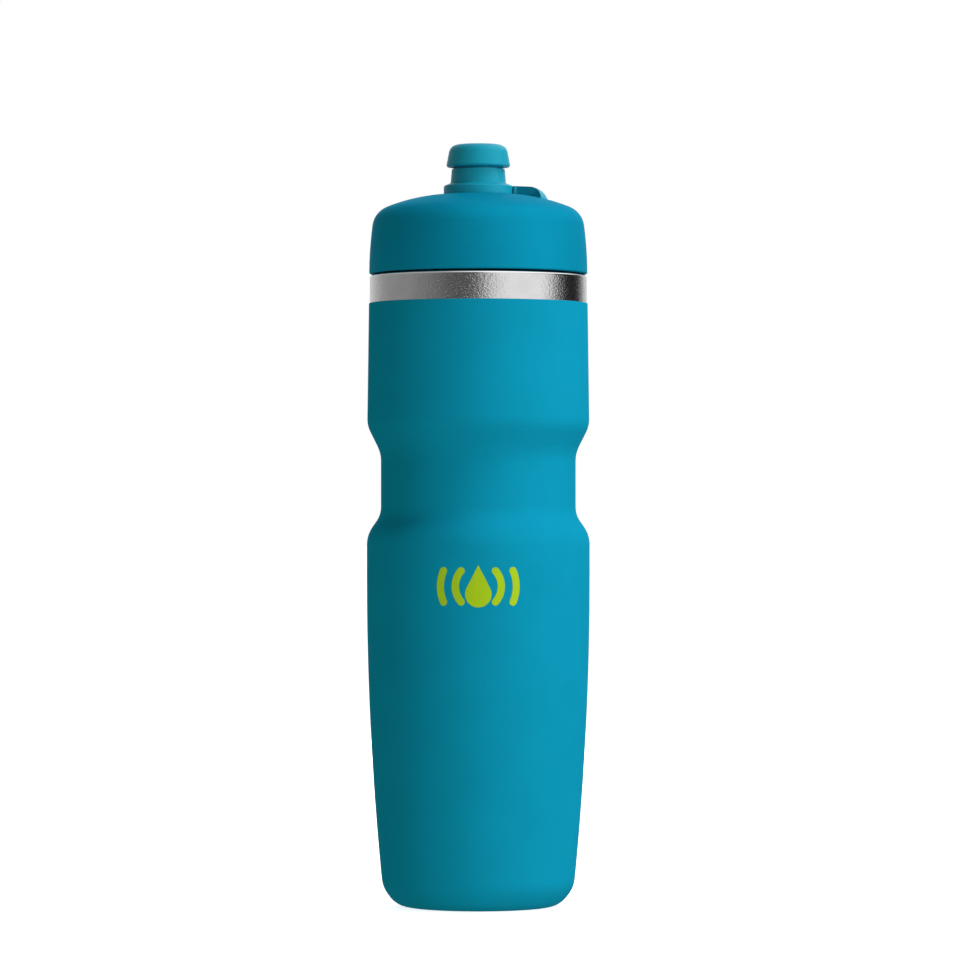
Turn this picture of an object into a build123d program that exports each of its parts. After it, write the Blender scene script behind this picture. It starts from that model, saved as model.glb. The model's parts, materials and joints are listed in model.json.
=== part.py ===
from build123d import *
import os
from math import acos, asin, atan2, cos, degrees, radians, sin, sqrt

# Insulated steel bicycle bottle with a screw lid and a push-pull drinking nozzle.
# Millimetres. The origin is the centre of the foot, +Z runs up the bottle, and the
# vent hood of the nozzle points along +X.

os.makedirs("parts", exist_ok=True)

# Sheet metal and coating
coat = 0.28
coat_edge = 0.22
shell_wall = 0.5
liner_wall = 0.4
vacuum_gap = 2.2

# Outline of the coated body, from the foot up
grip_radius = 36.85
grip_low = 109.0
taper_arc = 1015.0
heel_lean = 5.65
heel_upper_arc = 9.8
heel_lower_arc = 7.6
heel_turn = 52.2
flare_turn = 35.0
flare_upper_arc = 8.1
flare_lower_arc = 10.4
waist_radius = 32.2
waist_low = 131.8
waist_high = 147.0
shoulder_turn = 26.6
shoulder_lower_arc = 11.0
shoulder_upper_arc = 9.6
upper_lean = 0.76
coat_top = 198.8
coat_top_radius = 36.2

# Bare band, neck and rim
band_corner = 1.0
ledge_height = 208.4
neck_radius = 30.6
neck_root_arc = 0.8
rim_height = 222.0
rim_fold = 0.6
liner_neck_radius = 29.9
liner_top_arcs = (5.0, 3.0)
liner_top_turn = 50.0

# Screw thread between the neck and the lid
pitch = 4.0
thread_turns = 1.5
thread_gap = 1.5
ridge_base = 1.6
ridge_crest = 1.0
ridge_root = 0.3
male_crest_radius = 31.7
male_low = 213.0
female_crest_radius = 30.95
female_root_radius = 32.0
female_turned_back = 60.0
fade_angle = 52.0
fade_offset = 1.5
fade_overrun = 4.0
fade_reach = 60.0

# Foot and base
foot_inner_radius = 20.6
foot_outer_radius = 22.5
recess_height = 3.2
recess_bend = 1.4
recess_turn = 70.0
liner_low = 7.0
liner_heel_arc = 10.0
coat_foot_gap = 0.05
base_disc_radius = 18.4
base_disc_low = 1.8
base_disc_rim = 3.0
base_disc_step = 0.2
seal_hole_radius = 1.2
seal_bead = 0.7
seal_bead_radius = 3.0
seal_arc = (seal_bead_radius**2 + seal_bead**2) / (2 * seal_bead)
seal_turn = degrees(asin(seal_bead_radius / seal_arc))
getter_place = 9.0
getter_radius = 4.5
getter_height = 1.4
getter_rim = 1.1
getter_cup = 0.7

# Gasket between the rim and the lid
gasket_middle = 29.5
gasket_width = 4.6
gasket_thickness = 2.1
gasket_corner = 0.5
gasket_lift = 0.3
gasket_groove_places = (28.2, 31.2)
gasket_groove_radius = 0.4

# Lid
lid_low = 208.9
lid_radius = 36.1
lid_edge = 0.5
lid_side_arc = 127.8
lid_side_turn = 7.0
lid_side_lean = 0.46
lid_corner_arc = 7.5
lid_corner_turn = 60.7
lid_dome_arc = 59.4
lid_insert_radius = 33.5
lid_insert_height = 222.5
lid_insert_bevel = 0.3
lid_inner_corner_arc = 7.0
lid_inner_dome_arc = 57.2
seat_height = 234.8
seat_radius = 11.6
boss_height = 232.6
boss_radius = 13.5
nozzle_hole_radius = 9.5
flange_low = 224.5
flange_high = 226.0
flange_radius = 26.2
flange_lip = 0.7
flange_lip_drop = 1.6
flange_lip_draft = 0.1
ring_foot_rise = 0.7
ring_lead_in = 0.5

# Nozzle
collar_radius = 11.45
collar_height = 238.2
collar_edge_arc = 0.6
collar_edge_turn = 75.0
neck_cone_height = 238.95
nozzle_neck_low_radius = 9.17
nozzle_neck_top_radius = 8.8
nozzle_neck_top = 243.6
nozzle_neck_edge = 0.3
spigot_radius = 9.4
spigot_low = 227.0
bore_radius = 7.6
cavity_radius = 8.05
spout_travel = 5.0
core_radius = 7.5
core_bore_radius = 5.8
core_low = 228.0
core_top = 250.2
core_bead_slope = 0.4
core_bead_height = 1.4
core_hook = 0.5
core_hook_foot = 2.6
core_hook_low = 2.2
core_hook_high = 1.2
core_crown_inset = 0.6
outlet_radius = 4.1
outlet_rim = 0.5
outlet_cone = 1.4
ledge_in_bore = core_low + core_bead_height + spout_travel
head_low = 243.9
head_lip_radius = 10.52
head_top_radius = 9.73
head_top = 251.7
head_under_inset = 0.6
head_under_rise = 0.35
head_lip_rise = 1.1
head_corner_drop = 2.5
head_flat_radius = 7.0
head_mouth_arc = 0.6
bead_radius = 7.95
plug_radius = 4.0
plug_low = 249.3
plug_high = 251.2
plug_cone = 1.6
plug_edge_arc = 0.4
stem_foot_radius = 2.2
stem_waist_radius = 1.8
stem_flange = 1.0
stem_gap = 0.3
stem_fit = 0.02
stem_ring_bore = 6.4
stem_spokes = 3
stem_spoke = 1.6
stem_spoke_overlap = 1.0
seal_fit = 0.1
seal_edge = 0.2
retainer_fit = 0.05
retainer_notches = 6
retainer_notch_place = 13.1
retainer_notch_radius = 1.5
retainer_radius = 12.5
retainer_low = 229.4
retainer_high = 231.8
o_ring_height = 237.2
o_ring_section = 1.0
o_ring_groove = 1.3
o_ring_depth = 0.95
o_ring_fit = 0.02

# Vent hood: half of its plan, from the collar out, and its height
hood_root = 9.0
hood_notch = (11.75, -0.9)
hood_post_start = (11.75, -2.45)
hood_post_end = (12.75, -2.15)
hood_flare_start = (18.4, -6.2)
hood_flare_end = (20.5, -10.3)
hood_fan_end = (21.0, -12.2)
hood_fan_radius = 24.4
hood_inner_radius = 8.0
hood_brow_start = 238.25
hood_brow_end = (17.8, 237.5)
hood_end_radius = 23.0
hood_seat_radius = 11.4
hood_seat_edge = 11.8
hood_middle_radius = 16.0

# Vent
vent_x = 16.5
vent_hole_radius = 2.6
vent_spigot_radius = 2.5
vent_barb_radius = 2.0
vent_bore_radius = 1.2
straw_radius = 3.0
straw_top = 231.0
straw_low = 150.0
duckbill_low = 143.0
vent_outlet_height = 235.7
vent_outlet_radius = 0.7
duckbill_overlap = 2.0
duckbill_sleeve = 6.0
duckbill_wall = 0.9
duckbill_step = 0.2
duckbill_lips = (6.8, 1.6)
duckbill_slit = (4.4, 0.4)


def turned(point, direction, length):
    """The point that lies a length away, with the direction in degrees from +X."""
    return point[0] + length * cos(radians(direction)), point[1] + length * sin(radians(direction))


def arc_on(edge, radius, turn):
    """An arc that carries an outline on without a corner; a positive turn is to the left."""
    return JernArc(edge @ 1, edge % 1, radius, turn)


def line_on(edge, length):
    """A straight run that carries an outline on without a corner."""
    return Line(edge @ 1, edge @ 1 + (edge % 1) * length)


def turn_to(edge, radius, distance):
    """How far a left-hand arc that carries an outline on turns before it is a distance from the axis."""
    start = degrees(atan2((edge % 1).Y, (edge % 1).X)) - 90
    centre = (edge @ 1).X - radius * cos(radians(start))
    return degrees(acos((distance - centre) / radius)) - start


def taper_point(inset, lean):
    """Where the long lower taper, moved in by inset, leans by an angle from upright."""
    return turned((grip_radius - taper_arc, grip_low), -lean, taper_arc - inset)


def body_side(inset, lean):
    """The body's outline from the taper up to the top of the coat, moved in by inset."""
    arcs = flare_lower_arc + flare_upper_arc
    flare_run = grip_radius - waist_radius - arcs * (1 - cos(radians(flare_turn)))
    flare_run = flare_run / sin(radians(flare_turn))
    flare_height = arcs * sin(radians(flare_turn)) + flare_run * cos(radians(flare_turn))
    taper = JernArc(
        taper_point(inset, lean), (sin(radians(lean)), cos(radians(lean))), taper_arc - inset, lean
    )
    grip = Line(taper @ 1, (grip_radius - inset, waist_low - flare_height))
    flare_out = arc_on(grip, flare_lower_arc - inset, flare_turn)
    flare = line_on(flare_out, flare_run)
    flare_in = arc_on(flare, flare_upper_arc + inset, -flare_turn)
    waist = line_on(flare_in, waist_high - waist_low)

    arcs = shoulder_lower_arc + shoulder_upper_arc
    upper_height = coat_top - waist_high - arcs * sin(radians(shoulder_turn))
    rise = coat_top_radius - waist_radius + upper_height * sin(radians(upper_lean))
    rise = rise - arcs * (1 - cos(radians(shoulder_turn)))
    run = rise / (sin(radians(shoulder_turn)) + sin(radians(upper_lean)))
    shoulder_in = arc_on(waist, shoulder_lower_arc + inset, -shoulder_turn)
    shoulder = line_on(shoulder_in, run)
    shoulder_out = arc_on(shoulder, shoulder_upper_arc - inset, shoulder_turn + upper_lean)
    return line_on(shoulder_out, upper_height - run * cos(radians(shoulder_turn)))


def heel(inset):
    """The rounded heel's outline, from the end of the taper down and in to the foot."""
    down = (-sin(radians(heel_lean)), -cos(radians(heel_lean)))
    upper_turn = 90 - heel_lean - heel_turn
    upper = JernArc(taper_point(inset, heel_lean), down, heel_upper_arc - inset, -upper_turn)
    lower_height = inset + (heel_lower_arc - inset) * (1 - cos(radians(heel_turn)))
    straight = line_on(upper, ((upper @ 1).Y - lower_height) / sin(radians(heel_turn)))
    return arc_on(straight, heel_lower_arc - inset, -heel_turn)


def shell_top(edge, depth):
    """The bare band, the ledge under the lid and the neck, moved in by depth."""
    band_radius = coat_top_radius - coat
    band = Line(edge @ 1, (band_radius - depth, ledge_height - band_corner))
    corner = JernArc(band @ 1, (0, 1), band_corner - depth, 90)
    ledge = Line(corner @ 1, (neck_radius + neck_root_arc, ledge_height - depth))
    root = JernArc(ledge @ 1, (-1, 0), neck_root_arc + depth, -90)
    return Line(root @ 1, (neck_radius - depth, rim_height - rim_fold))


def liner_top(edge, depth):
    """The liner's narrowing from the upper body into the neck, moved in by depth."""
    convex, concave = liner_top_arcs
    drop = (edge @ 1).X - liner_neck_radius + depth
    drop = drop - (convex + concave) * (1 - cos(radians(liner_top_turn)))
    curl = arc_on(edge, convex - depth, liner_top_turn - upper_lean)
    slope = line_on(curl, drop / sin(radians(liner_top_turn)))
    throat = arc_on(slope, concave + depth, -liner_top_turn)
    return Line(throat @ 1, (liner_neck_radius - depth, rim_height - rim_fold))


def ridge_section(side, crest_radius, root_radius):
    """The section of a thread ridge, in the plane across its helix, rooted in the wall."""
    height = abs(crest_radius - root_radius)
    Polygon(
        (-side * ridge_root, -ridge_base / 2),
        (-side * ridge_root, ridge_base / 2),
        (side * height, ridge_crest / 2),
        (side * height, -ridge_crest / 2),
        align=None,
    )


def fade_sector(end, way):
    """The slice of a turn, from a thread's end back over the stretch where its ridge fades."""
    outer = turned((0, 0), end - way * fade_overrun, fade_reach)
    return (0, 0), outer, turned((0, 0), end + way * fade_angle, fade_reach)


def dome_height(radius):
    """The height of the lid's dome at a distance from the axis."""
    return dome_centre[1] + sqrt(lid_dome_arc**2 - (radius - dome_centre[0]) ** 2)


# ---------------------------------------------------------------- bottle body

with BuildPart() as outer_shell:
    with BuildSketch(Plane.XZ):
        with BuildLine():
            outside = shell_top(body_side(coat, heel_lean), 0)
            inside = shell_top(body_side(coat + shell_wall, heel_lean), shell_wall)
            Line(outside @ 1, inside @ 1)
            Line(taper_point(coat, heel_lean), taper_point(coat + shell_wall, heel_lean))
        make_face()
    revolve(axis=Axis.Z)
    with BuildLine(Plane.XY.offset(male_low)) as male_helix:
        Helix(pitch, pitch * thread_turns, neck_radius)
    with BuildSketch(Plane(male_helix.line @ 0, x_dir=(1, 0, 0), z_dir=male_helix.line % 0)):
        ridge_section(1, male_crest_radius, neck_radius)
    sweep(path=male_helix.line, is_frenet=True)
    for end, way in ((0, 1), (360 * thread_turns, -1)):
        low = male_low + pitch * end / 360 - pitch / 2
        with BuildSketch(Plane.XY.offset(low)):
            Polygon(*fade_sector(end, way), align=None)
            with Locations(turned((0, 0), end + way * 90, fade_offset)):
                Circle(neck_radius, mode=Mode.SUBTRACT)
        extrude(amount=pitch, mode=Mode.SUBTRACT)
outer_shell.part.label = "outer_shell"
export_step(outer_shell.part, "parts/outer_shell.step")

with BuildPart() as inner_liner:
    inset = coat + shell_wall + vacuum_gap
    liner_lean = degrees(
        asin((grip_low - liner_low - liner_heel_arc) / (taper_arc - inset - liner_heel_arc))
    )
    with BuildSketch(Plane.XZ):
        with BuildLine():
            for depth in (0, liner_wall):
                start = taper_point(inset + depth, liner_lean)
                out = (-sin(radians(liner_lean)), -cos(radians(liner_lean)))
                bend = JernArc(start, out, liner_heel_arc - depth, liner_lean - 90)
                Line(bend @ 1, (0, (bend @ 1).Y))
                if depth == 0:
                    floor_low = (0, (bend @ 1).Y)
                    wall = liner_top(body_side(inset, liner_lean), 0)
                    lip = Line(wall @ 1, (neck_radius, rim_height - rim_fold))
                    lip_side = Line(lip @ 1, (neck_radius, rim_height - rim_fold / 2))
                    lip_edge = JernArc(lip_side @ 1, (0, 1), rim_fold / 2, 90)
                else:
                    Line(floor_low, (0, (bend @ 1).Y))
                    wall = liner_top(body_side(inset + depth, liner_lean), depth)
                    throat = Line(wall @ 1, (liner_neck_radius - depth, rim_height - rim_fold / 2))
                    throat_edge = JernArc(throat @ 1, (0, 1), rim_fold / 2, -90)
            Line(lip_edge @ 1, throat_edge @ 1)
        make_face()
    revolve(axis=Axis.Z)
inner_liner.part.label = "inner_liner"
export_step(inner_liner.part, "parts/inner_liner.step")

with BuildPart() as outer_base:
    with BuildSketch(Plane.XZ):
        with BuildLine():
            outer = heel(coat)
            step = Line(outer @ 1, (foot_outer_radius + coat, coat))
            bevel = Line(step @ 1, (foot_outer_radius, 0))
            foot = Line(bevel @ 1, (foot_inner_radius, 0))
            rise = JernArc(foot @ 1, (-1, 0), recess_bend, -recess_turn)
            straight = recess_height - 2 * recess_bend * (1 - cos(radians(recess_turn)))
            slope = line_on(rise, straight / sin(radians(recess_turn)))
            level = arc_on(slope, recess_bend, recess_turn)
            roof = Line(level @ 1, (seal_hole_radius, recess_height))
            hole = Line(roof @ 1, (seal_hole_radius, recess_height + shell_wall))
            inner = heel(coat + shell_wall)
            inner_roof = Line(hole @ 1, (level @ 1 + (0, shell_wall)))
            inner_level = JernArc(inner_roof @ 1, (1, 0), recess_bend + shell_wall, -recess_turn)
            inner_slope = line_on(inner_level, slope.length)
            inner_rise = arc_on(inner_slope, recess_bend - shell_wall, recess_turn)
            Line(inner_rise @ 1, inner @ 1)
            Line(taper_point(coat, heel_lean), taper_point(coat + shell_wall, heel_lean))
        make_face()
    revolve(axis=Axis.Z)
outer_base.part.label = "outer_base"
export_step(outer_base.part, "parts/outer_base.step")

with BuildPart() as base_disc:
    with BuildSketch(Plane.XY.offset(base_disc_low)):
        Circle(base_disc_radius)
    extrude(amount=shell_wall)
    with BuildSketch(Plane.XY.offset(base_disc_low)):
        Circle(base_disc_radius - base_disc_rim)
    extrude(amount=shell_wall + base_disc_step)
    fillet(base_disc.edges().filter_by(GeomType.CIRCLE).group_by(Axis.Z)[0], base_disc_step)
base_disc.part.label = "base_disc"
export_step(base_disc.part, "parts/base_disc.step")

with BuildPart() as vacuum_seal:
    with BuildSketch(Plane.XZ):
        with BuildLine():
            bead = JernArc((0, recess_height - seal_bead), (1, 0), seal_arc, seal_turn)
            bead_top = Line(bead @ 1, (seal_hole_radius, (bead @ 1).Y))
            plug_side = Line(bead_top @ 1, (seal_hole_radius, recess_height + shell_wall))
            plug_top = Line(plug_side @ 1, (0, recess_height + shell_wall))
            Line(plug_top @ 1, bead @ 0)
        make_face()
    revolve(axis=Axis.Z)
vacuum_seal.part.label = "vacuum_seal"
export_step(vacuum_seal.part, "parts/vacuum_seal.step")

with BuildPart() as getter:
    with BuildSketch(Plane.XY.offset(recess_height + shell_wall)):
        with Locations((getter_place, 0)):
            Circle(getter_radius)
    extrude(amount=getter_height)
    with BuildSketch(Plane.XY.offset(recess_height + shell_wall + getter_height)):
        with Locations((getter_place, 0)):
            Circle(getter_radius - getter_rim)
    extrude(amount=-getter_cup, mode=Mode.SUBTRACT)
getter.part.label = "getter"
export_step(getter.part, "parts/getter.step")

with BuildPart() as grip_coating:
    with BuildSketch(Plane.XZ):
        with BuildLine():
            outside = body_side(0, heel_lean)
            rounding = JernArc(outside @ 1, (0, 1), coat_edge, 90)
            inside = body_side(coat, heel_lean)
            Line(rounding @ 1, inside @ 1)
            outer = heel(0)
            inner = heel(coat)
            outer_end = Line(outer @ 1, (foot_outer_radius + coat + coat_foot_gap, 0))
            inner_end = Line(inner @ 1, (foot_outer_radius + coat + coat_foot_gap, coat))
            Line(outer_end @ 1, inner_end @ 1)
        make_face()
    revolve(axis=Axis.Z)
grip_coating.part.label = "grip_coating"
export_step(grip_coating.part, "parts/grip_coating.step")

# ---------------------------------------------------------------- lid gasket

with BuildPart() as lid_gasket:
    with BuildSketch(Plane.XZ):
        with Locations((gasket_middle, rim_height + gasket_lift + gasket_thickness / 2)):
            RectangleRounded(gasket_width, gasket_thickness, gasket_corner)
        with Locations(*[(place, rim_height + gasket_lift) for place in gasket_groove_places]):
            Circle(gasket_groove_radius, mode=Mode.SUBTRACT)
    revolve(axis=Axis.Z)
lid_gasket.part.label = "lid_gasket"
export_step(lid_gasket.part, "parts/lid_gasket.step")

# ---------------------------------------------------------------- lid

with BuildPart() as lid_cover:
    with BuildSketch(Plane.XZ):
        with BuildLine():
            out = (cos(radians(90 + lid_side_lean)), sin(radians(90 + lid_side_lean)))
            foot_start = (lid_radius - lid_edge, lid_low)
            foot_edge = JernArc(foot_start, (1, 0), lid_edge, 90 + lid_side_lean)
            side = JernArc(foot_edge @ 1, out, lid_side_arc, lid_side_turn)
            corner = arc_on(side, lid_corner_arc, lid_corner_turn)
            dome_turn = 90 - lid_side_lean - lid_side_turn - lid_corner_turn
            dome = arc_on(corner, lid_dome_arc, dome_turn)
            dome_centre = ((dome @ 1).X, (dome @ 1).Y - lid_dome_arc)
            crown = Line(dome @ 1, (0, (dome @ 1).Y))
            axis_top = Line(crown @ 1, (0, boss_height))
            boss = Line(axis_top @ 1, (boss_radius, boss_height))
            insert_low = (lid_insert_radius, lid_low + lid_insert_bevel)
            insert_side = Line(insert_low, (lid_insert_radius, lid_insert_height))
            inner_turn = lid_side_lean + lid_side_turn + lid_corner_turn
            inner_corner = JernArc(insert_side @ 1, (0, 1), lid_inner_corner_arc, inner_turn)
            inner_fall = turn_to(inner_corner, lid_inner_dome_arc, boss_radius)
            inner_dome = arc_on(inner_corner, lid_inner_dome_arc, inner_fall)
            Line(inner_dome @ 1, boss @ 1)
            underside = Line(foot_start, (lid_insert_radius + lid_insert_bevel, lid_low))
            Line(underside @ 1, insert_side @ 0)
        make_face()
    revolve(axis=Axis.Z)
    with BuildSketch(Plane.XY.offset(seat_height)):
        Circle(seat_radius)
    extrude(amount=collar_height - seat_height, mode=Mode.SUBTRACT)
    with BuildSketch(Plane.XY.offset(retainer_high)):
        Circle(nozzle_hole_radius)
        with Locations((vent_x, 0)):
            Circle(vent_hole_radius)
    extrude(amount=collar_height - retainer_high, mode=Mode.SUBTRACT)
lid_cover.part.label = "lid_cover"
export_step(lid_cover.part, "parts/lid_cover.step")

with BuildPart() as lid_thread_ring:
    with BuildSketch(Plane.XZ):
        with BuildLine():
            ring_foot = lid_low + ring_foot_rise
            outer = Line((lid_insert_radius, ring_foot), (lid_insert_radius, lid_insert_height))
            top_turn = degrees(asin((flange_high - lid_insert_height) / lid_inner_corner_arc))
            shoulder = JernArc(outer @ 1, (0, 1), lid_inner_corner_arc, top_turn)
            top = Line(shoulder @ 1, (flange_radius, flange_high))
            lip = Line(top @ 1, (flange_radius, flange_low - flange_lip_drop))
            lip_end = Line(lip @ 1, lip @ 1 + (flange_lip, 0))
            groove = Line(lip_end @ 1, (flange_radius + flange_lip + flange_lip_draft, flange_low))
            roof = Line(groove @ 1, (female_root_radius, flange_low))
            bore = Line(roof @ 1, (female_root_radius, ring_foot + ring_lead_in))
            lead_in = Line(bore @ 1, (female_root_radius + ring_lead_in, ring_foot))
            Line(lead_in @ 1, outer @ 0)
        make_face()
    revolve(axis=Axis.Z)
    female_low = male_low - thread_gap
    with BuildLine(
        Plane((0, 0, female_low - pitch * female_turned_back / 360)).rotated((0, 0, -female_turned_back))
    ) as female_helix:
        Helix(pitch, pitch * thread_turns, female_root_radius)
    away = (female_helix.line @ 0) - Vector(0, 0, (female_helix.line @ 0).Z)
    with BuildSketch(Plane(female_helix.line @ 0, x_dir=away, z_dir=female_helix.line % 0)):
        ridge_section(-1, female_crest_radius, female_root_radius)
    sweep(path=female_helix.line, is_frenet=True)
    for end, way in ((0, 1), (360 * thread_turns, -1)):
        low = female_low + pitch * (end - female_turned_back) / 360 - pitch / 2
        with BuildSketch(Plane.XY.offset(low)):
            Polygon(*fade_sector(end - female_turned_back, way), align=None)
            with Locations(turned((0, 0), end - female_turned_back - way * 90, fade_offset)):
                Circle(female_root_radius, mode=Mode.INTERSECT)
        extrude(amount=pitch, mode=Mode.SUBTRACT)
lid_thread_ring.part.label = "lid_thread_ring"
export_step(lid_thread_ring.part, "parts/lid_thread_ring.step")

with BuildPart() as nozzle_base:
    with BuildSketch(Plane.XY.offset(lid_low)):
        with BuildLine():
            half_root = Line((hood_root, 0), (hood_root, hood_notch[1]))
            post = Polyline(half_root @ 1, hood_notch, hood_post_start, hood_post_end, hood_flare_start)
            flare = TangentArc(post @ 1, hood_flare_end, tangent=post % 1)
            fan = Line(flare @ 1, hood_fan_end)
            Line(fan @ 1, (hood_fan_radius, 0))
            mirror(about=Plane.XZ)
        make_face()
    extrude(amount=collar_height)
    with BuildSketch(Plane.XZ):
        with BuildLine():
            end_foot = (hood_end_radius, dome_height(hood_end_radius))
            brow = Line((hood_inner_radius, hood_brow_start), hood_brow_end)
            TangentArc(brow @ 1, end_foot, tangent=brow % 1)
            under_middle = (hood_middle_radius, dome_height(hood_middle_radius))
            under = ThreePointArc(end_foot, under_middle, (hood_seat_edge, dome_height(hood_seat_edge)))
            seat_edge = Line(under @ 1, (hood_seat_radius, seat_height))
            seat = Line(seat_edge @ 1, (hood_inner_radius, seat_height))
            Line(seat @ 1, brow @ 0)
        make_face()
    revolve(axis=Axis.Z, mode=Mode.INTERSECT)
    with BuildSketch(Plane.XZ):
        with BuildLine():
            bottom = Line((0, seat_height), (collar_radius, seat_height))
            collar_side = Line(bottom @ 1, (collar_radius, collar_height - collar_edge_arc))
            collar_edge = JernArc(collar_side @ 1, (0, 1), collar_edge_arc, collar_edge_turn)
            cone = Line(collar_edge @ 1, (nozzle_neck_low_radius, neck_cone_height))
            neck = Line(cone @ 1, (nozzle_neck_top_radius, nozzle_neck_top - nozzle_neck_edge))
            neck_edge = JernArc(neck @ 1, (0, 1), nozzle_neck_edge, 90)
            top = Line(neck_edge @ 1, (0, nozzle_neck_top))
            Line(top @ 1, bottom @ 0)
        make_face()
    revolve(axis=Axis.Z)
    with BuildSketch(Plane.XY.offset(spigot_low)):
        Circle(spigot_radius)
    extrude(amount=seat_height - spigot_low)
    with BuildSketch(Plane.XY.offset(straw_top)):
        with Locations((vent_x, 0)):
            Circle(vent_spigot_radius)
    extrude(amount=seat_height - straw_top)
    with BuildSketch(Plane.XY.offset(spigot_low)):
        with Locations((vent_x, 0)):
            Circle(vent_barb_radius)
    extrude(amount=straw_top - spigot_low)
    with BuildSketch(Plane.XZ):
        with BuildLine():
            Polyline(
                (0, spigot_low),
                (cavity_radius, spigot_low),
                (cavity_radius, ledge_in_bore),
                (bore_radius, ledge_in_bore),
                (bore_radius, nozzle_neck_top),
                (0, nozzle_neck_top),
                close=True,
            )
        make_face()
    revolve(axis=Axis.Z, mode=Mode.SUBTRACT)
    with BuildSketch(Plane.XY.offset(spigot_low)):
        with Locations((vent_x, 0)):
            Circle(vent_bore_radius)
    extrude(amount=vent_outlet_height - spigot_low, mode=Mode.SUBTRACT)
    with BuildSketch(Plane.YZ.offset(vent_x)):
        with Locations((0, vent_outlet_height)):
            Circle(vent_outlet_radius)
    extrude(amount=hood_end_radius - vent_x, mode=Mode.SUBTRACT)
nozzle_base.part.label = "nozzle_base"
export_step(nozzle_base.part, "parts/nozzle_base.step")

with BuildPart() as nozzle_seal:
    with BuildSketch(Plane.XY.offset(retainer_high)):
        Circle(retainer_radius - seal_fit)
        Circle(nozzle_hole_radius, mode=Mode.SUBTRACT)
    extrude(amount=boss_height - retainer_high)
    fillet(nozzle_seal.edges().filter_by(GeomType.CIRCLE), seal_edge)
nozzle_seal.part.label = "nozzle_seal"
export_step(nozzle_seal.part, "parts/nozzle_seal.step")

with BuildPart() as nozzle_retainer:
    with BuildSketch(Plane.XY.offset(retainer_low)):
        Circle(retainer_radius)
        with PolarLocations(retainer_notch_place, retainer_notches, 180 / retainer_notches):
            Circle(retainer_notch_radius, mode=Mode.SUBTRACT)
        Circle(spigot_radius + retainer_fit, mode=Mode.SUBTRACT)
    extrude(amount=retainer_high - retainer_low)
nozzle_retainer.part.label = "nozzle_retainer"
export_step(nozzle_retainer.part, "parts/nozzle_retainer.step")

with BuildPart() as nozzle_stem:
    with BuildSketch(Plane.XZ):
        with BuildLine():
            pin = Polyline(
                (0, spigot_low - stem_flange),
                (stem_foot_radius, spigot_low - stem_flange),
                (stem_waist_radius, plug_low - plug_cone),
                (plug_radius, plug_low),
                (plug_radius, plug_high - plug_edge_arc),
            )
            plug_edge = JernArc(pin @ 1, (0, 1), plug_edge_arc, 90)
            plug_top = Line(plug_edge @ 1, (0, plug_high))
            Line(plug_top @ 1, pin @ 0)
        make_face()
    revolve(axis=Axis.Z)
    for low, high, radius in (
        (spigot_low - stem_flange, spigot_low, spigot_radius),
        (spigot_low, core_low - stem_gap, cavity_radius - stem_fit),
    ):
        with BuildSketch(Plane.XY.offset(low)):
            Circle(radius)
            Circle(stem_ring_bore, mode=Mode.SUBTRACT)
            with PolarLocations(stem_ring_bore / 2, stem_spokes):
                Rectangle(stem_ring_bore + stem_spoke_overlap, stem_spoke)
        extrude(amount=high - low)
nozzle_stem.part.label = "nozzle_stem"
export_step(nozzle_stem.part, "parts/nozzle_stem.step")

with BuildPart() as vent_straw:
    with BuildSketch(Plane.XY.offset(straw_low)):
        with Locations((vent_x, 0)):
            Circle(straw_radius)
            Circle(vent_barb_radius, mode=Mode.SUBTRACT)
    extrude(amount=straw_top - straw_low)
vent_straw.part.label = "vent_straw"
export_step(vent_straw.part, "parts/vent_straw.step")

with BuildPart() as vent_duckbill:
    with BuildSketch(Plane.XY.offset(straw_low - duckbill_overlap)):
        with Locations((vent_x, 0)):
            Circle(straw_radius + duckbill_wall)
    extrude(amount=duckbill_sleeve)
    with BuildSketch(Plane.XY.offset(straw_low - duckbill_overlap)):
        with Locations((vent_x, 0)):
            Circle(straw_radius + duckbill_step)
    with BuildSketch(Plane.XY.offset(duckbill_low)):
        with Locations((vent_x, 0)):
            SlotOverall(*duckbill_lips)
    loft()
    with BuildSketch(Plane.XY.offset(straw_low)):
        with Locations((vent_x, 0)):
            Circle(straw_radius)
    extrude(amount=duckbill_sleeve, mode=Mode.SUBTRACT)
    with BuildSketch(Plane.XY.offset(straw_low)):
        with Locations((vent_x, 0)):
            Circle(vent_barb_radius)
    with BuildSketch(Plane.XY.offset(duckbill_low)):
        with Locations((vent_x, 0)):
            SlotOverall(*duckbill_slit)
    loft(mode=Mode.SUBTRACT)
vent_duckbill.part.label = "vent_duckbill"
export_step(vent_duckbill.part, "parts/vent_duckbill.step")

# ---------------------------------------------------------------- sliding spout

with BuildPart() as spout_core:
    with BuildSketch(Plane.XZ):
        with BuildLine():
            Polyline(
                (core_bore_radius, core_low),
                (core_radius, core_low),
                (bead_radius, core_low + core_bead_slope),
                (bead_radius, core_low + core_bead_height - core_bead_slope),
                (core_radius, core_low + core_bead_height),
                (core_radius, o_ring_height - o_ring_groove / 2),
                (core_radius - o_ring_depth, o_ring_height - o_ring_groove / 2),
                (core_radius - o_ring_depth, o_ring_height + o_ring_groove / 2),
                (core_radius, o_ring_height + o_ring_groove / 2),
                (core_radius, core_top - core_hook_foot),
                (core_radius + core_hook, core_top - core_hook_low),
                (core_radius + core_hook, core_top - core_hook_high),
                (core_radius - core_crown_inset, core_top),
                (outlet_radius, core_top),
                (outlet_radius, core_top - outlet_rim),
                (core_bore_radius, core_top - outlet_cone),
                close=True,
            )
        make_face()
    revolve(axis=Axis.Z)
spout_core.part.label = "spout_core"
export_step(spout_core.part, "parts/spout_core.step")

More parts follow.
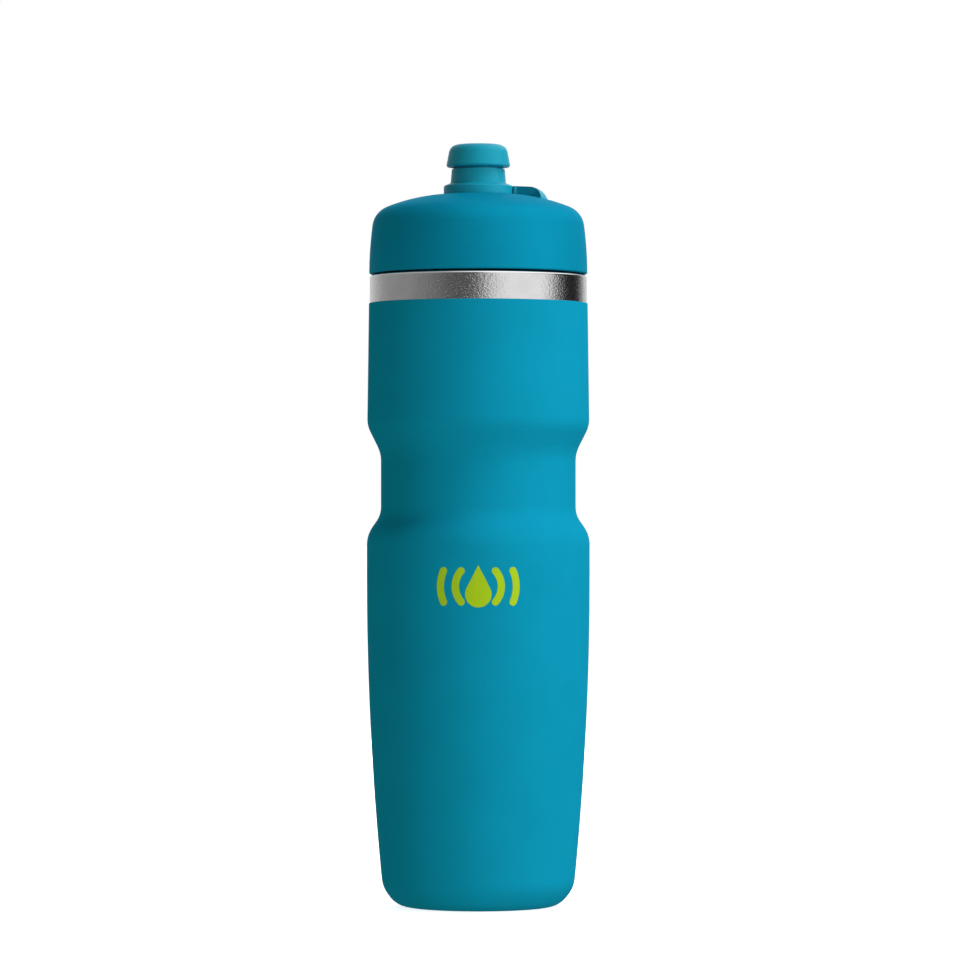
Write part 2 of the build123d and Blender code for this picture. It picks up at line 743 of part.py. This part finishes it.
with BuildPart() as spout_sleeve:
    with BuildSketch(Plane.XZ):
        with BuildLine():
            under_end = (head_lip_radius - head_under_inset, head_low + head_under_rise)
            under = Line((core_radius, head_low), under_end)
            lip = TangentArc(under @ 1, (head_lip_radius, head_low + head_lip_rise), tangent=(1, 0.1))
            side = Line(lip @ 1, (head_top_radius, head_top - head_corner_drop))
            corner = TangentArc(side @ 1, (head_flat_radius, head_top), tangent=side % 1)
            top = Line(corner @ 1, (outlet_radius + head_mouth_arc, head_top))
            mouth_edge = JernArc(top @ 1, (-1, 0), head_mouth_arc, 90)
            mouth = Line(mouth_edge @ 1, (outlet_radius, core_top))
            Polyline(
                mouth @ 1,
                (core_radius - core_crown_inset, core_top),
                (core_radius + core_hook, core_top - core_hook_high),
                (core_radius + core_hook, core_top - core_hook_low),
                (core_radius, core_top - core_hook_foot),
                under @ 0,
            )
        make_face()
    revolve(axis=Axis.Z)
spout_sleeve.part.label = "spout_sleeve"
export_step(spout_sleeve.part, "parts/spout_sleeve.step")

with BuildPart() as spout_o_ring:
    with BuildSketch(Plane.XZ):
        with Locations((bore_radius - o_ring_fit - o_ring_section / 2, o_ring_height)):
            Circle(o_ring_section / 2)
    revolve(axis=Axis.Z)
spout_o_ring.part.label = "spout_o_ring"
export_step(spout_o_ring.part, "parts/spout_o_ring.step")
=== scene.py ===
"""Looks of an insulated steel bicycle bottle: teal coating, steel band, domed lid and push-pull nozzle."""

import json
import math

import bmesh
import bpy
import numpy as np
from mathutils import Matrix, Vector
from mathutils.bvhtree import BVHTree


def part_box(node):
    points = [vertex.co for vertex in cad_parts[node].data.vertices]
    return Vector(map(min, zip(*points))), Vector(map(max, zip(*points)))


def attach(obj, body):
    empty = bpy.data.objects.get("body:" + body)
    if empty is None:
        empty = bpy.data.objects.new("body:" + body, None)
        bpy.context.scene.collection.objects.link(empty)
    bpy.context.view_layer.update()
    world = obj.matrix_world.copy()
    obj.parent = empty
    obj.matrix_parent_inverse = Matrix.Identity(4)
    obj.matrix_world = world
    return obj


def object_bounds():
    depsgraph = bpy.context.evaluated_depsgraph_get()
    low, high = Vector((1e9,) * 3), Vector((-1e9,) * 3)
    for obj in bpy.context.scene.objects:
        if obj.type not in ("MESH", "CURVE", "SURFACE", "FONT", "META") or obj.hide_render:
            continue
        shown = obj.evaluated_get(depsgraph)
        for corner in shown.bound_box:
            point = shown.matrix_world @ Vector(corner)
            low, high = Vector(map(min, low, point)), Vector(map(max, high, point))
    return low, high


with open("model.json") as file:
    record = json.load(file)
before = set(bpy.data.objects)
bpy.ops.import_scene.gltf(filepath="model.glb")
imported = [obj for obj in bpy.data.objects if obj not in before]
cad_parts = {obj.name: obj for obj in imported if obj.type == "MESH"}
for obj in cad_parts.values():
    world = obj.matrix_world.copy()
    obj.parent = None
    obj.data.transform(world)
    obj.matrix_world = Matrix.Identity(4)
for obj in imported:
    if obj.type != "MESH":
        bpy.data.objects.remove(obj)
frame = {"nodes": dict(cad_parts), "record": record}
cad_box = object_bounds()

# ---------------------------------------------------------------- sizes, in metres

MM = 0.001

# Bare steel of the shell: its ripple fades out between two heights, where the polished edge starts
BAND_RADIUS = 35.92 * MM
BAND_CORNER = 1.0 * MM
LEDGE_HEIGHT = 208.4 * MM
NECK_RADIUS = 30.6 * MM
NECK_TOP = 221.4 * MM
RIPPLED_TO = 207.1 * MM
SMOOTH_FROM = 207.5 * MM

# Skin over the polished steel: how far it stands out and reaches in, and where it sinks in at its ends
SKIN_PROUD = 0.02 * MM
SKIN_SUNK = 0.1 * MM
SKIN_FILLET = 1.2 * MM
SKIN_FADE = 0.3 * MM
SKIN_START = 12
SKIN_SEGMENTS = 360
SKIN_STEPS = 14
INNER_STEPS = 8

# Printed mark, its outlines in millimetres round its middle
MARK_CENTRE = 106.0 * MM
MARK_PROUD = 0.05 * MM
MARK_SUNK = 0.12 * MM
PRINT_STEP = 0.7 * MM
PRINT_WELD = 0.005 * MM
DROP_RADIUS = 4.3
DROP_MIDDLE = -2.5
DROP_TIP = 6.9
DROP_STEPS = 40
RIPPLES = {"inner": (6.3, 8.7, 42), "outer": (11.3, 13.7, 24)}
RIPPLE_STEPS = 30
RIPPLE_END_STEPS = 12

# Grain of the surfaces
CLOUD_SIZE = 18 * MM
CLOUD_TONE = 0.03
GLOSS_SPREAD = 0.05
STEEL_CLOUD_SIZE = 6 * MM
DRAWN_GRAIN_SIZE = 0.4 * MM
RIPPLE_SIZE = 0.65 * MM

# Camera, lamps and floor
CAMERA_PLACE = (0.00056, -1.571, 0.1252)
CAMERA_PITCH = math.radians(0.567)
CAMERA_REACH = 100
LENS = 178.1
SENSOR = 36
LAMP_DISTANCE = 1.3
FLOOR_RADIUS = 30.0
FLOOR_DEPTH = 0.02 * MM
FLOOR_SIDES = 96
# Painted shade on the floor: its glow is dimmed close to the foot and comes back to full between these two
# distances from the axis
FLOOR_PAINTED_SHADE_TO = 0.03
FLOOR_WHITE_FROM = 0.6

# ---------------------------------------------------------------- colours and brightnesses

TEAL = (0.004, 0.285, 0.462)
LID_TEAL = (0.003, 0.252, 0.412)
LID_SHEEN = (0.02, 0.5, 0.7, 1)
NOZZLE_TEAL = (0.006, 0.295, 0.42)
INSERT_TEAL = (0.008, 0.25, 0.38)
LIME = (0.42, 0.6, 0.01)
STEEL = (0.625, 0.625, 0.625)
GETTER_GREY = (0.25, 0.25, 0.26)
GLASS_GREY = (0.06, 0.07, 0.08)
CLEAR = (0.7, 0.74, 0.74)
PALE_GREY = (0.55, 0.58, 0.58)
RUBBER_BLACK = (0.02, 0.02, 0.022)
STRAW_DARK = (0.74, 0.78, 0.77)
STRAW_LIGHT = (0.8, 0.83, 0.82)
WHITE = (1, 1, 1)

FILL_TINT = (0.8, 1.0, 0.86)
FILL_FROM_ABOVE = (0.055, 0.07, 0.053)
FILL_FROM_BELOW = (0.2, 0.255, 0.195)
FLOOR_COLOUR = (0.85, 0.85, 0.85)
# How brightly the floor glows: dimmed near the foot as painted shade, full white further out
FLOOR_GLOW_IN_PAINTED_SHADE = 0.8
FLOOR_GLOW_FAR = 1.0
BRIGHTEST = 1.4

# Between two heights of a direction's unit vector the panels give way to the ceiling, or the fill from below
# to the fill from above; between two places across, the ceiling brightens from one level to the other
CEILING_RISE = (0.25, 0.55)
CEILING_ACROSS = (-0.5, 0.2)
CEILING_LEVELS = (0.4, 1.2)
FILL_RISE = (-0.3, 0.3)

# The soft panels round the object: azimuths in degrees from the front towards +X, and how bright each is
PANELS = [
    (-180, 0.72), (-155, 0.74), (-140, 0.57), (-127, 0.41), (-108, 0.35), (-80, 0.33), (-45, 0.2),
    (-22, 0.1), (-4, 0.1), (4, 0.3), (13, 0.78), (22, 1.02), (32, 1.13), (72, 1.12), (83, 1.0),
    (92, 0.2), (101, 0.03), (136, 0.02), (142, 0.21), (147, 0.53), (154, 0.8), (164, 0.86), (180, 0.72),
]

# The stretch of its range in which most of a noise's values lie
NOISE_LOW = 0.3
NOISE_HIGH = 0.7


def shade(colour, factor):
    return tuple(c * factor for c in colour)


def opaque(colour):
    return (*colour, 1)


def arc(centre, radius, start, end, steps):
    """Points along a circular arc, its angles in degrees."""
    turns = np.radians(np.linspace(start, end, steps))
    return [(centre[0] + radius * math.cos(t), centre[1] + radius * math.sin(t)) for t in turns]


def add_object(name, data):
    thing = bpy.data.objects.new(name, data)
    bpy.context.scene.collection.objects.link(thing)
    return thing


# ---------------------------------------------------------------- node trees

class Tree:
    """The nodes of a material or of the world."""

    def __init__(self, owner):
        owner.use_nodes = True
        self.nodes = owner.node_tree.nodes
        self.links = owner.node_tree.links

    def put(self, socket, value):
        """Links a socket to another node's output, or sets it to a plain value."""
        if isinstance(value, bpy.types.NodeSocket):
            self.links.new(value, socket)
        else:
            socket.default_value = value

    def add(self, kind, sockets=None, **settings):
        """A new node with its settings and what goes into its sockets."""
        node = self.nodes.new("ShaderNode" + kind)
        for name, value in settings.items():
            setattr(node, name, value)
        for name, value in (sockets or {}).items():
            self.put(node.inputs[name], value)
        return node

    def calculate(self, operation, *values):
        return self.add("Math", dict(enumerate(values)), operation=operation).outputs[0]

    def spread(self, value, start, end, low=0, high=1, curve="LINEAR"):
        """A value between start and end, spread between low and high."""
        sockets = {"Value": value, "From Min": start, "From Max": end, "To Min": low, "To Max": high}
        return self.add("MapRange", sockets, interpolation_type=curve).outputs["Result"]

    def mix(self, factor, first, second):
        """The first colour where the factor is 0 and the second where it is 1."""
        sockets = {"Factor": factor, "A": first, "B": second}
        return self.add("Mix", sockets, data_type="RGBA").outputs["Result"]

    def ramp(self, value, stops):
        """A colour ramp over a value, from (position, colour) stops."""
        node = self.add("ValToRGB", {"Fac": value})
        elements = node.color_ramp.elements
        while len(elements) < len(stops):
            elements.new(0.5)
        for element, (position, colour) in zip(elements, stops):
            element.position = position
            element.color = opaque(colour)
        return node.outputs["Color"]


class Paint(Tree):
    """A material with one Principled shader, and helpers that add what varies over its surface."""

    def __init__(self, name, rough, **uniform):
        self.material = bpy.data.materials.new(name)
        super().__init__(self.material)
        self.shader = self.nodes["Principled BSDF"]
        self.shader.inputs["Roughness"].default_value = rough
        for socket, value in uniform.items():
            self.shader.inputs[socket.replace("_", " ")].default_value = value
        self.place = self.add("TexCoord").outputs["Object"]
        self.normal = None

    def stretched(self, x, y, z):
        """The object's own coordinates, scaled on each axis."""
        return self.add("Mapping", {"Vector": self.place, "Scale": (x, y, z)}).outputs["Vector"]

    def noise(self, size, detail=2, place=None):
        """Noise whose features are about size across, in metres."""
        sockets = {"Vector": place or self.place, "Scale": 1 / size, "Detail": detail}
        return self.add("TexNoise", sockets).outputs["Fac"]

    def tone(self, noise, dark, light):
        """A base colour that wanders between two shades."""
        self.put(self.shader.inputs["Base Color"], self.ramp(noise, [(NOISE_LOW, dark), (NOISE_HIGH, light)]))

    def gloss(self, noise, low, high):
        """A roughness that wanders between two values."""
        self.put(self.shader.inputs["Roughness"], self.spread(noise, NOISE_LOW, NOISE_HIGH, low, high))

    def fading_up(self, low, high):
        """One below the height low, fading to nothing at the height high."""
        height = self.add("SeparateXYZ", {"Vector": self.place}).outputs["Z"]
        return self.spread(height, low, high, 1, 0)

    def bump(self, height, depth, strength=1):
        """Adds relief over what is there already; depth is its height in metres."""
        sockets = {"Strength": strength, "Distance": depth, "Height": height}
        if self.normal is not None:
            sockets["Normal"] = self.normal
        self.normal = self.add("Bump", sockets).outputs["Normal"]
        self.put(self.shader.inputs["Normal"], self.normal)


# ---------------------------------------------------------------- materials

def moulded(name, colour, rough, grain, depth, **uniform):
    """Moulded or sprayed colour: faint cloudiness, a fine grain and uneven gloss."""
    paint = Paint(name, rough, **uniform)
    fine = paint.noise(grain)
    cloud = paint.noise(CLOUD_SIZE, detail=3)
    paint.tone(cloud, shade(colour, 1 - CLOUD_TONE), shade(colour, 1 + CLOUD_TONE))
    paint.gloss(fine, rough - GLOSS_SPREAD, rough + GLOSS_SPREAD)
    paint.bump(paint.noise(grain * 3, detail=1), depth * 2)
    paint.bump(fine, depth)
    return paint.material


def coating():
    """Soft-touch sprayed coating: matte teal with a faint orange peel under a fine grain."""
    return moulded(
        "teal_coating", TEAL, rough=0.72, grain=0.5 * MM, depth=0.006 * MM, Specular_IOR_Level=0.004
    )


def lid_plastic():
    """The lid's matte plastic, with a touch of metal flake that lights its edges in its own teal."""
    return moulded(
        "lid_plastic", LID_TEAL, rough=0.5, grain=0.6 * MM, depth=0.03 * MM,
        Metallic=0.2, Specular_IOR_Level=0.004, Specular_Tint=LID_SHEEN,
    )


def nozzle_part(name, grain):
    """The nozzle's satin teal, in hard plastic or in silicone."""
    return moulded(name, NOZZLE_TEAL, rough=0.45, grain=grain, depth=0.008 * MM, Specular_IOR_Level=0.25)


def insert_plastic():
    return moulded("insert_plastic", INSERT_TEAL, rough=0.42, grain=0.4 * MM, depth=0.006 * MM)


def solder_glass():
    return moulded("solder_glass", GLASS_GREY, rough=0.2, grain=0.5 * MM, depth=0.01 * MM)


def seal(name, colour, rough):
    """Silicone or rubber of a seal."""
    return moulded(name, colour, rough, grain=0.3 * MM, depth=0.006 * MM, Specular_IOR_Level=0.4)


def steel(name, colour, rough, ripple):
    """Stainless steel: a fine drawn grain round the body and a rippled surface below the polished edge."""
    paint = Paint(name, rough, Metallic=1.0)
    drawn = paint.noise(DRAWN_GRAIN_SIZE, place=paint.stretched(1, 1, 6))
    relief = paint.noise(RIPPLE_SIZE, detail=3, place=paint.stretched(0.9, 0.9, 1.3))
    paint.tone(paint.noise(STEEL_CLOUD_SIZE, detail=3), shade(colour, 0.95), shade(colour, 1.04))
    paint.gloss(drawn, rough - 0.03, rough + 0.04)
    paint.bump(relief, ripple, paint.fading_up(RIPPLED_TO, SMOOTH_FROM))
    return paint.material


def straw_plastic():
    """Milky translucent tube."""
    paint = Paint("straw_plastic", 0.35, Subsurface_Weight=0.3, Subsurface_Scale=2 * MM)
    paint.tone(paint.noise(5 * MM), STRAW_DARK, STRAW_LIGHT)
    paint.bump(paint.noise(0.6 * MM), 0.004 * MM)
    return paint.material


def lime_ink():
    """Pad-printed ink: opaque lime with faint screen grain."""
    paint = Paint("lime_ink", 0.5, Specular_IOR_Level=0.3)
    speck = paint.noise(0.25 * MM)
    paint.tone(speck, shade(LIME, 0.95), shade(LIME, 1.04))
    paint.bump(speck, 0.004 * MM)
    return paint.material


FINISHES = {
    "teal_coating": coating(),
    "lid_plastic": lid_plastic(),
    "nozzle_plastic": nozzle_part("nozzle_plastic", grain=0.4 * MM),
    "nozzle_silicone": nozzle_part("nozzle_silicone", grain=0.5 * MM),
    "insert_plastic": insert_plastic(),
    "straw_plastic": straw_plastic(),
    "clear_silicone": seal("clear_silicone", CLEAR, rough=0.4),
    "gasket_silicone": seal("gasket_silicone", PALE_GREY, rough=0.5),
    "o_ring_rubber": seal("o_ring_rubber", RUBBER_BLACK, rough=0.45),
    "brushed_steel": steel("brushed_steel", STEEL, rough=0.08, ripple=0.14 * MM),
    "bright_steel": steel("bright_steel", STEEL, rough=0.16, ripple=0.012 * MM),
    "getter_steel": steel("getter_steel", GETTER_GREY, rough=0.5, ripple=0.01 * MM),
    "solder_glass": solder_glass(),
}
INK = lime_ink()

for part in frame["record"]["subparts"]:
    mesh = frame["nodes"][part["node"]].data
    mesh.materials.clear()
    mesh.materials.append(FINISHES[part["material_slot"]])


# ---------------------------------------------------------------- polished steel

def lathe(name, profile, segments):
    """A closed ring: a profile of (radius, height) points turned round the bottle's axis."""
    turns = np.linspace(0, 2 * math.pi, segments + 1)[:-1]
    points = [(r * math.cos(t), r * math.sin(t), z) for t in turns for r, z in profile]
    count = len(profile)
    faces = []
    for ring in range(segments):
        here = ring * count
        there = (ring + 1) % segments * count
        for i in range(count):
            j = (i + 1) % count
            faces.append((here + i, there + i, there + j, here + j))
    mesh = bpy.data.meshes.new(name)
    mesh.from_pydata(points, [], faces)
    mesh.shade_smooth()
    return add_object(name, mesh)


def steel_skin():
    """The polished steel over the band's corner, the ledge under the lid and the neck, as a thin skin."""
    corner = (BAND_RADIUS - BAND_CORNER, LEDGE_HEIGHT - BAND_CORNER)
    root = (NECK_RADIUS + SKIN_PROUD + SKIN_FILLET, LEDGE_HEIGHT + SKIN_PROUD + SKIN_FILLET)
    profile = [
        (BAND_RADIUS, corner[1]),
        *arc(corner, BAND_CORNER + SKIN_PROUD, SKIN_START, 90, SKIN_STEPS),
        *arc(root, SKIN_FILLET, 270, 180, SKIN_STEPS),
        (NECK_RADIUS + SKIN_PROUD, NECK_TOP - SKIN_FADE),
        (NECK_RADIUS, NECK_TOP),
        (NECK_RADIUS - SKIN_SUNK, NECK_TOP),
        *arc(root, SKIN_FILLET + SKIN_PROUD + SKIN_SUNK, 180, 270, INNER_STEPS),
        *arc(corner, BAND_CORNER - SKIN_SUNK, 90, 0, INNER_STEPS),
    ]
    piece = lathe("bare_steel_skin", profile, SKIN_SEGMENTS)
    piece.data.materials.append(FINISHES["brushed_steel"])
    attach(piece, "bottle")


steel_skin()


# ---------------------------------------------------------------- printed mark

GRIP_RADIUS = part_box("grip_coating")[1].x
COATING_MESH = frame["nodes"]["grip_coating"].data
COATING = BVHTree.FromPolygons(
    [v.co for v in COATING_MESH.vertices],
    [p.vertices for p in COATING_MESH.polygons],
)


def on_body(x, height, proud):
    """The point that lies an arc x round the front of the body and stands proud of its coating."""
    angle = x / GRIP_RADIUS
    outward = Vector((math.sin(angle), -math.cos(angle), 0))
    start = outward * 2 * GRIP_RADIUS + Vector((0, 0, height))
    return COATING.ray_cast(start, -outward)[0] + outward * proud


def drop_outline():
    """A water drop: a round bottom with two straight flanks that meet at a point."""
    flank = math.degrees(math.acos(DROP_RADIUS / (DROP_TIP - DROP_MIDDLE)))
    return arc((0, DROP_MIDDLE), DROP_RADIUS, 90 + flank, 450 - flank, DROP_STEPS) + [(0, DROP_TIP)]


def ripple_outline(inner, outer, half_turn, side):
    """A ripple: part of a ring with rounded ends, to the left (side -1) or right (side 1) of the drop."""
    middle = (inner + outer) / 2
    end_radius = (outer - inner) / 2
    end_x = middle * math.cos(math.radians(half_turn))
    end_y = middle * math.sin(math.radians(half_turn))
    points = [
        *arc((0, 0), outer, -half_turn, half_turn, RIPPLE_STEPS),
        *arc((end_x, end_y), end_radius, half_turn, half_turn + 180, RIPPLE_END_STEPS)[1:-1],
        *arc((0, 0), inner, half_turn, -half_turn, RIPPLE_STEPS),
        *arc((end_x, -end_y), end_radius, 180 - half_turn, 360 - half_turn, RIPPLE_END_STEPS)[1:-1],
    ]
    return [(side * x, y) for x, y in points][::side]


def print_on_body(name, outline):
    """A thin raised print of an outline in millimetres, wrapped round the front of the body."""
    bm = bmesh.new()
    face = bm.faces.new([bm.verts.new((x * MM, 0, y * MM)) for x, y in outline])
    face.normal_update()
    bmesh.ops.triangulate(bm, faces=[face])
    for across in (Vector((1, 0, 0)), Vector((0, 0, 1))):
        places = [v.co.dot(across) for v in bm.verts]
        for cut in np.arange(min(places) + PRINT_STEP, max(places), PRINT_STEP):
            everything = bm.verts[:] + bm.edges[:] + bm.faces[:]
            bmesh.ops.bisect_plane(bm, geom=everything, plane_co=across * cut, plane_no=across)
    bmesh.ops.remove_doubles(bm, verts=bm.verts, dist=PRINT_WELD)
    front = bmesh.ops.extrude_face_region(bm, geom=bm.faces[:])
    outer = {v for v in front["geom"] if isinstance(v, bmesh.types.BMVert)}
    for v in bm.verts:
        v.co = on_body(v.co.x, MARK_CENTRE + v.co.z, MARK_PROUD if v in outer else -MARK_SUNK)
    bmesh.ops.recalc_face_normals(bm, faces=bm.faces)
    mesh = bpy.data.meshes.new(name)
    bm.to_mesh(mesh)
    bm.free()
    mesh.materials.append(INK)
    piece = add_object(name, mesh)
    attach(piece, "bottle")


print_on_body("mark_drop", drop_outline())
for side, word in ((-1, "left"), (1, "right")):
    for place, (inner, outer, half_turn) in RIPPLES.items():
        print_on_body(f"mark_ripple_{word}_{place}", ripple_outline(inner, outer, half_turn, side))


# ---------------------------------------------------------------- camera, light and floor

def look_from_the_front():
    """A long lens, almost level, straight in front of the mark."""
    data = bpy.data.cameras.new("camera")
    data.lens = LENS
    data.sensor_width = SENSOR
    data.clip_end = CAMERA_REACH
    camera = add_object("camera", data)
    camera.location = CAMERA_PLACE
    camera.rotation_euler = (math.pi / 2 + CAMERA_PITCH, 0, 0)
    bpy.context.scene.camera = camera


def studio_light():
    """What the studio shows: the ring of panels and a ceiling that is brighter towards +X in reflections,
    a soft fill on matte surfaces, and plain white behind the object."""
    world = bpy.data.worlds.new("studio")
    bpy.context.scene.world = world
    tree = Tree(world)
    direction = tree.add("TexCoord").outputs["Generated"]
    x, y, z = tree.add("SeparateXYZ", {"Vector": direction}).outputs
    azimuth = tree.calculate("ARCTAN2", x, tree.calculate("MULTIPLY", y, -1))
    turn = tree.calculate("MULTIPLY_ADD", azimuth, 1 / (2 * math.pi), 0.5)
    stops = [(degrees / 360 + 0.5, shade(WHITE, level / BRIGHTEST)) for degrees, level in PANELS]
    ring = tree.ramp(turn, stops)
    ceiling = tree.spread(x, *CEILING_ACROSS, *CEILING_LEVELS)
    reflected = tree.mix(tree.spread(z, *CEILING_RISE, curve="SMOOTHSTEP"), ring, ceiling)
    below = opaque(shade(FILL_FROM_BELOW, 1 / BRIGHTEST))
    above = opaque(shade(FILL_FROM_ABOVE, 1 / BRIGHTEST))
    fill = tree.mix(tree.spread(z, *FILL_RISE, curve="SMOOTHSTEP"), below, above)
    rays = tree.add("LightPath").outputs
    lit = tree.mix(rays["Is Diffuse Ray"], reflected, fill)
    seen = tree.mix(rays["Is Camera Ray"], lit, opaque(shade(WHITE, 1 / BRIGHTEST)))
    background = tree.nodes["Background"]
    tree.put(background.inputs["Strength"], BRIGHTEST)
    tree.put(background.inputs["Color"], seen)


def soft_lamp(name, azimuth, elevation, power, size, distance=LAMP_DISTANCE, colour=WHITE):
    """A square soft box, seen from the bottle's middle at an azimuth from the front towards +X."""
    data = bpy.data.lights.new(name, "AREA")
    data.energy = power
    data.size = size
    data.color = colour
    lamp = add_object(name, data)
    round_z = math.radians(azimuth)
    up = math.radians(elevation)
    outward = Vector((math.sin(round_z) * math.cos(up), -math.cos(round_z) * math.cos(up), math.sin(up)))
    lamp.location = outward * distance + Vector((0, 0, cad_box[1].z / 2))
    lamp.rotation_euler = outward.to_track_quat("Z", "Y").to_euler()
    lamp.visible_glossy = False
    lamp.visible_camera = False


def pale_floor():
    """A white, glowing floor, with painted shade that makes it a little greyer close to the bottle's foot."""
    rim = arc((0, 0), FLOOR_RADIUS, 0, 360, FLOOR_SIDES + 1)[:-1]
    mesh = bpy.data.meshes.new("floor")
    mesh.from_pydata([(x, y, -FLOOR_DEPTH) for x, y in rim], [], [tuple(range(FLOOR_SIDES))])
    floor = add_object("floor", mesh)
    paint = Paint("pale_floor", 0.9, Specular_IOR_Level=0.1)
    distance = paint.add("VectorMath", {0: paint.place}, operation="LENGTH").outputs["Value"]
    # Painted shade: the floor glows less close to the bottle's foot, so it looks greyer there
    painted_shade_fade = (FLOOR_PAINTED_SHADE_TO, FLOOR_WHITE_FROM, FLOOR_GLOW_IN_PAINTED_SHADE, FLOOR_GLOW_FAR)
    glow_with_painted_shade = paint.spread(distance, *painted_shade_fade, curve="SMOOTHSTEP")
    paint.put(paint.shader.inputs["Base Color"], opaque(FLOOR_COLOUR))
    paint.put(paint.shader.inputs["Emission Color"], opaque(WHITE))
    paint.put(paint.shader.inputs["Emission Strength"], glow_with_painted_shade)
    mesh.materials.append(paint.material)
    floor.visible_diffuse = False
    floor.visible_glossy = False
    floor.visible_shadow = False


look_from_the_front()
studio_light()
soft_lamp("key_lamp", azimuth=75, elevation=15, power=3.7, size=0.5)
soft_lamp("front_lamp", azimuth=41, elevation=0, power=7.3, size=0.4)
soft_lamp("top_lamp", azimuth=75, elevation=60, power=9.2, size=0.5)
soft_lamp("low_fill_lamp", azimuth=-30, elevation=-38, power=0.85, size=0.4, distance=0.85, colour=FILL_TINT)
soft_lamp("high_fill_lamp", azimuth=-30, elevation=20, power=1.2, size=0.5, colour=FILL_TINT)
soft_lamp("left_lamp", azimuth=-120, elevation=0, power=1.6, size=0.4, colour=FILL_TINT)
soft_lamp("back_lamp", azimuth=-172, elevation=15, power=9, size=0.6)
pale_floor()
bpy.context.scene.view_settings.view_transform = "Standard"
